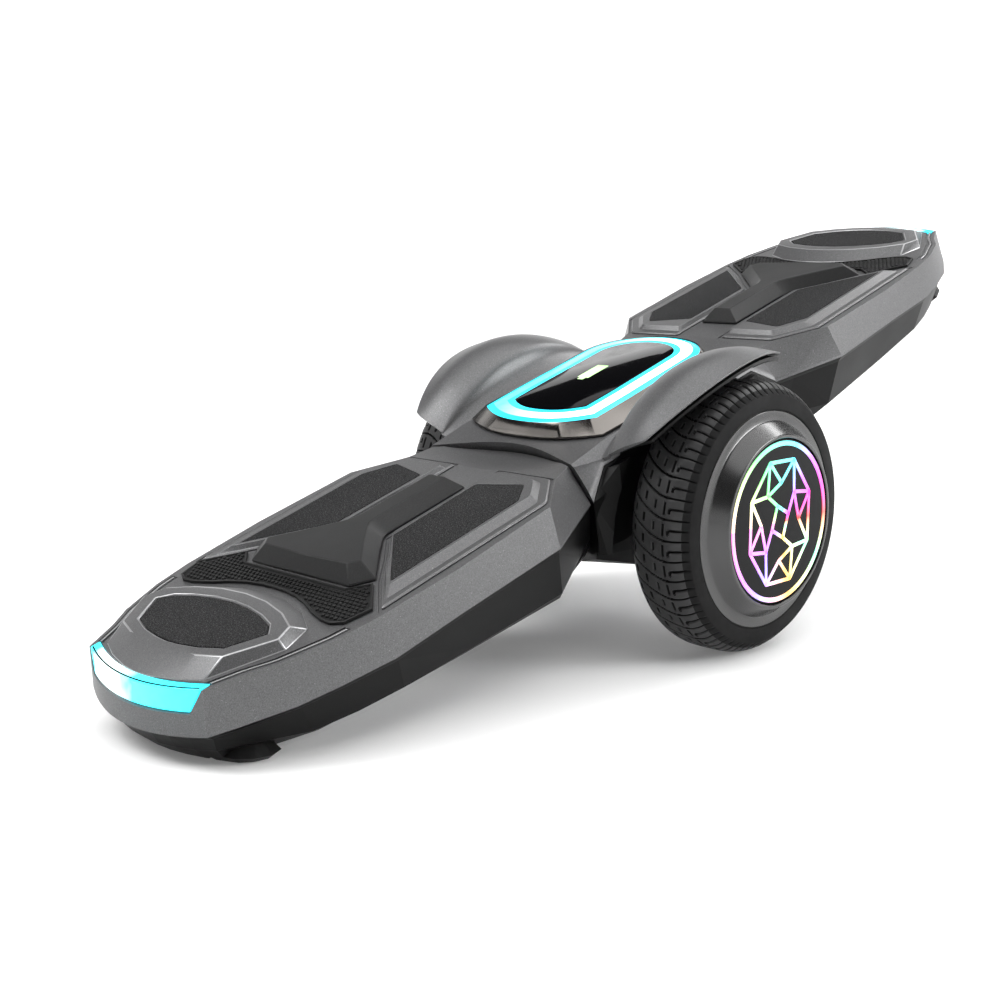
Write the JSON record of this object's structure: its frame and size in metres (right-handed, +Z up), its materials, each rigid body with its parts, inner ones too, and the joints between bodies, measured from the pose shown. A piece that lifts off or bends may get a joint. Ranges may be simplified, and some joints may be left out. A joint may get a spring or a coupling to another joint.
{
  "type": "self balancing hoverboard",
  "caption": "Skate-style self balancing board: footboards before and behind a lit centre body between hub-motor wheels, resting nose down.",
  "frame": {"origin": "centre of the bounding box footprint, on the floor the board stands on", "axes": "+X to the nose that rests on the floor, +Y to the left wheel, +Z up"},
  "size_m": [0.7078, 0.2598, 0.2644],
  "materials": {
    "satin_grey": "satin moulded plastic with a fine metallic flake",
    "black_plastic": "fine moulded grain",
    "dark_plastic": "matte with soft chamfers",
    "grip_sheet": "speckled grit sheet",
    "rubber": "moulded rubber",
    "tyre_rubber": "tread rubber",
    "dark_chrome": "smoked chrome",
    "black_glass": "polished black",
    "cyan_light": "lit light guide",
    "wheel_light": "gloss black disc with lit lines",
    "hub_grey": "satin",
    "steel": "machined",
    "cast_alloy": "cast and machined",
    "copper": "enamelled copper windings on a steel core",
    "circuit_board": "solder mask",
    "battery_wrap": "shrink wrap"
  },
  "bodies": {
    "chassis": {"axle_clamp": "steel", "axle_left": "steel", "axle_right": "steel", "centre_lower_housing": "black_plastic", "centre_top_cover": "satin_grey", "charge_port": "black_plastic", "chassis_frame": "cast_alloy", "display_bezel": "dark_chrome", "display_board": "circuit_board", "display_glass": "black_glass", "display_light_ring": "cyan_light", "fender_liner_left": "black_plastic", "fender_liner_right": "black_plastic", "main_control_board": "circuit_board", "pivot_nut_front": "steel", "pivot_nut_rear": "steel", "pivot_tube": "steel", "stator_left": "copper", "stator_right": "copper"},
    "front_deck": {"battery_pack": "battery_wrap", "front_deck_base_shell": "black_plastic", "front_deck_spine": "dark_plastic", "front_deck_upper_shell": "satin_grey", "front_foot_bumper": "rubber", "front_grip_pad_left": "grip_sheet", "front_grip_pad_right": "grip_sheet", "front_nose_light_lens": "cyan_light", "front_nose_pad": "grip_sheet", "front_pivot_bush": "rubber", "front_rubber_mat": "rubber"},
    "rear_deck": {"motor_driver_board": "circuit_board", "rear_deck_base_shell": "black_plastic", "rear_deck_spine": "dark_plastic", "rear_deck_upper_shell": "satin_grey", "rear_foot_bumper": "rubber", "rear_grip_pad_left": "grip_sheet", "rear_grip_pad_right": "grip_sheet", "rear_nose_light_lens": "cyan_light", "rear_nose_pad": "grip_sheet", "rear_pivot_bush": "rubber", "rear_rubber_mat": "rubber"},
    "left_wheel": {"hub_cap_left": "hub_grey", "magnet_ring_left": "steel", "motor_inner_cover_left": "cast_alloy", "motor_shell_left": "cast_alloy", "outer_bearing_left": "steel", "tyre_left": "tyre_rubber", "wheel_light_left": "wheel_light"},
    "right_wheel": {"hub_cap_right": "hub_grey", "magnet_ring_right": "steel", "motor_inner_cover_right": "cast_alloy", "motor_shell_right": "cast_alloy", "outer_bearing_right": "steel", "tyre_right": "tyre_rubber", "wheel_light_right": "wheel_light"},
    "power_button": {"power_button": "rubber"},
    "charge_cap": {"charge_port_cap": "rubber"}
  },
  "joints": [
    {"name": "left_wheel_spin", "type": "hinge", "parent": "chassis", "child": "left_wheel", "pos_m": [-0.01499, 0.095, 0.084], "axis": [0, 1, 0], "continuous": true},
    {"name": "right_wheel_spin", "type": "hinge", "parent": "chassis", "child": "right_wheel", "pos_m": [-0.01499, -0.095, 0.084], "axis": [0, 1, 0], "continuous": true},
    {"name": "front_deck_roll", "type": "hinge", "parent": "chassis", "child": "front_deck", "pos_m": [-0.00479, 0, 0.11539], "axis": [0.9511, 0, -0.309], "range_deg": [-8, 8], "stiffness_Nm_per_rad": 60},
    {"name": "rear_deck_roll", "type": "hinge", "parent": "chassis", "child": "rear_deck", "pos_m": [-0.00479, 0, 0.11539], "axis": [0.9511, 0, -0.309], "range_deg": [-8, 8], "stiffness_Nm_per_rad": 60},
    {"name": "power_button_press", "type": "slide", "parent": "chassis", "child": "power_button", "axis": [0.309, 0, 0.9511], "range_m": [0, 0.0015], "stiffness_N_per_m": 600},
    {"name": "charge_cap_open", "type": "hinge", "parent": "chassis", "child": "charge_cap", "pos_m": [-0.01551, -0.0352, 0.0568], "axis": [-0.9511, 0, 0.309], "range_deg": [0, 100]}
  ]
}
